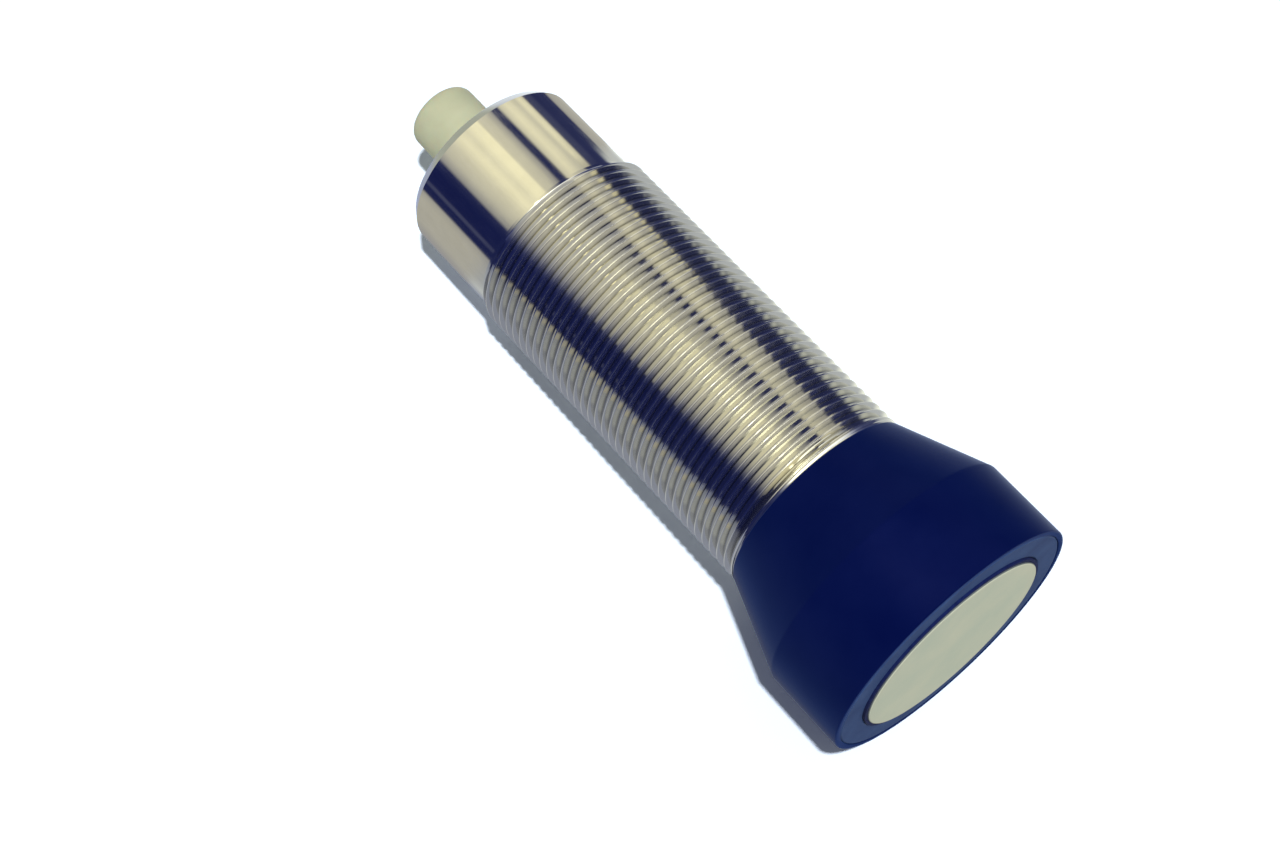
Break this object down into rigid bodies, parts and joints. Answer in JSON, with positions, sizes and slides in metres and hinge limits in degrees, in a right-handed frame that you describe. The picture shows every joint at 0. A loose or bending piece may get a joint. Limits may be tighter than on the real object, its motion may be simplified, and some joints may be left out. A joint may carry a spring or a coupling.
{
  "type": "ultrasonic sensor",
  "caption": "Ultrasonic distance sensor: threaded metal barrel, flared plastic head with a round transducer face, round plug with a push-on dust cap.",
  "frame": {"origin": "centre of the sensing disc's front face, which the sensor stands on", "axes": "+Z along the barrel, from the sensing face to the plug; +X and +Y across it, +Y out of the circuit board's front face"},
  "size_m": [0.04, 0.04, 0.1098],
  "materials": {
    "head_plastic": "moulded, fine matt grain",
    "ring_plastic": "cast, matt",
    "sleeve_foam": "soft, matt",
    "disc_resin": "ground, matt",
    "piezo_ceramic": "fired",
    "damping_foam": "open foam",
    "wire_red": "extruded",
    "wire_black": "extruded",
    "seal_rubber": "moulded",
    "plated_brass": "turned, bright nickel plate",
    "carrier_plastic": "moulded",
    "board_laminate": "solder mask",
    "ferrite": "pressed",
    "copper_wire": "wound",
    "chip_case": "moulded",
    "capacitor_can": "drawn",
    "capacitor_ceramic": "fired",
    "lamp_green": "clear",
    "lamp_yellow": "clear",
    "potting_resin": "cast",
    "light_guide": "translucent",
    "contact_plastic": "moulded",
    "contact_gold": "gold plate",
    "cap_plastic": "moulded, slightly translucent"
  },
  "bodies": {
    "sensor": {"head_housing": "head_plastic", "transducer_cup": "ring_plastic", "decoupling_sleeve": "sleeve_foam", "sensing_disc": "disc_resin", "piezo_disc": "piezo_ceramic", "backing_foam": "damping_foam", "transducer_leads": "wire_red", "temperature_probe": "wire_black", "front_seal": "seal_rubber", "barrel": "plated_brass", "front_carrier": "carrier_plastic", "rear_carrier": "carrier_plastic", "circuit_board": "board_laminate", "transformer_core": "ferrite", "transformer_coil": "copper_wire", "controller_chip": "chip_case", "amplifier_chip": "chip_case", "voltage_regulator": "chip_case", "storage_capacitor": "capacitor_can", "ceramic_capacitors": "capacitor_ceramic", "status_lamp_a": "lamp_green", "status_lamp_b": "lamp_yellow", "potting_disc": "potting_resin", "closing_cap": "carrier_plastic", "rear_seal": "seal_rubber", "light_ring": "light_guide", "plug_shell": "plated_brass", "plug_seal": "seal_rubber", "contact_carrier": "contact_plastic", "contact_pin_1": "contact_gold", "contact_pin_2": "contact_gold", "contact_pin_3": "contact_gold", "contact_pin_4": "contact_gold", "contact_pin_5": "contact_gold", "plug_leads": "wire_black"},
    "cap": {"dust_cap": "cap_plastic"}
  },
  "joints": [
    {"name": "cap_pull", "type": "slide", "parent": "sensor", "child": "cap", "axis": [0, 0, 1], "range_m": [0, 0.02]}
  ]
}
